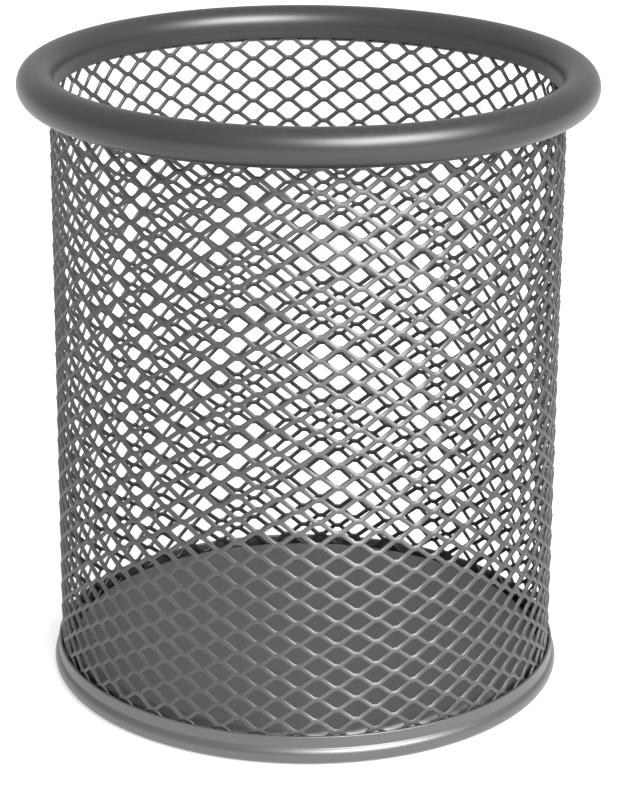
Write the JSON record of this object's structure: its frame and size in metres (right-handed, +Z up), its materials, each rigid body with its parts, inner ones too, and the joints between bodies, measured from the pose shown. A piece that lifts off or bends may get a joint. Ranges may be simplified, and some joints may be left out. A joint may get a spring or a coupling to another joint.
{
  "type": "pen holder cup",
  "caption": "Round open-topped pen cup: a straight diamond-mesh steel wall between a thick rolled rim and a raised sheet floor with a low rolled foot.",
  "frame": {"origin": "centre of the cup on the plane it stands on", "axes": "+Z up along the cup's axis, towards the open mouth; X and Y across it"},
  "size_m": [0.0898, 0.0899, 0.1],
  "materials": {
    "painted_mesh": "satin silver-grey paint",
    "painted_rim": "semi-gloss silver-grey paint",
    "painted_base": "satin silver-grey paint"
  },
  "bodies": {
    "root": {"mesh_sleeve": "painted_mesh", "top_rim": "painted_rim", "base_pan": "painted_base"}
  },
  "joints": []
}
